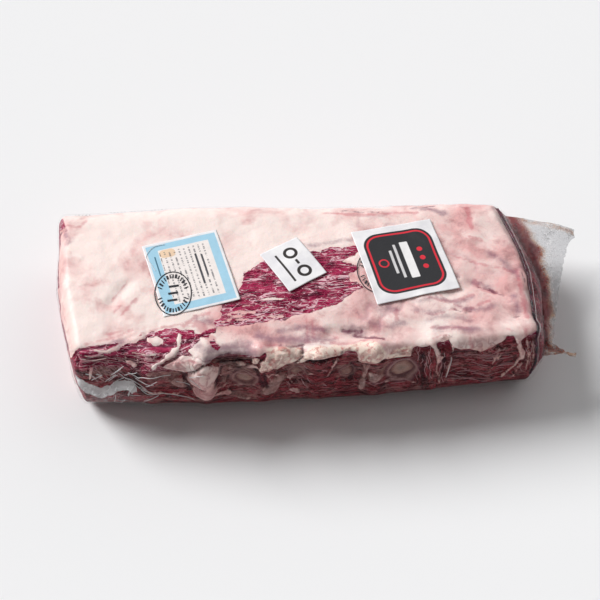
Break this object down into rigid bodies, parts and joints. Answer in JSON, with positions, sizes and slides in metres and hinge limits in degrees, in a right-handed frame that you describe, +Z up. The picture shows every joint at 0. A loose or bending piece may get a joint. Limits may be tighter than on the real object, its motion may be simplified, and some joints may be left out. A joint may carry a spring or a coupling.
{
  "type": "raw beef rib roast in a vacuum bag",
  "caption": "Whole boneless beef rib roast, raw and marbled, sealed tight in a clear vacuum bag with a loose flap at one end and plain paper labels on its fat side.",
  "frame": {"origin": "middle of the base of the whole object's bounding box", "axes": "+X along the roast towards the loose flap of the bag, +Y from the rib side to the back, +Z up through the fat side"},
  "size_m": [0.4712, 0.193, 0.0936],
  "materials": {
    "beef": "raw marbled beef and fat cover under tight clear film, moist gloss",
    "film": "clear glossy vacuum bag film",
    "paper": "coated label paper, white",
    "ink": "black print on film"
  },
  "bodies": {
    "root": {"vacuum_bag": "beef", "product_label": "paper", "grade_label": "paper", "maker_label": "paper"}
  },
  "joints": []
}
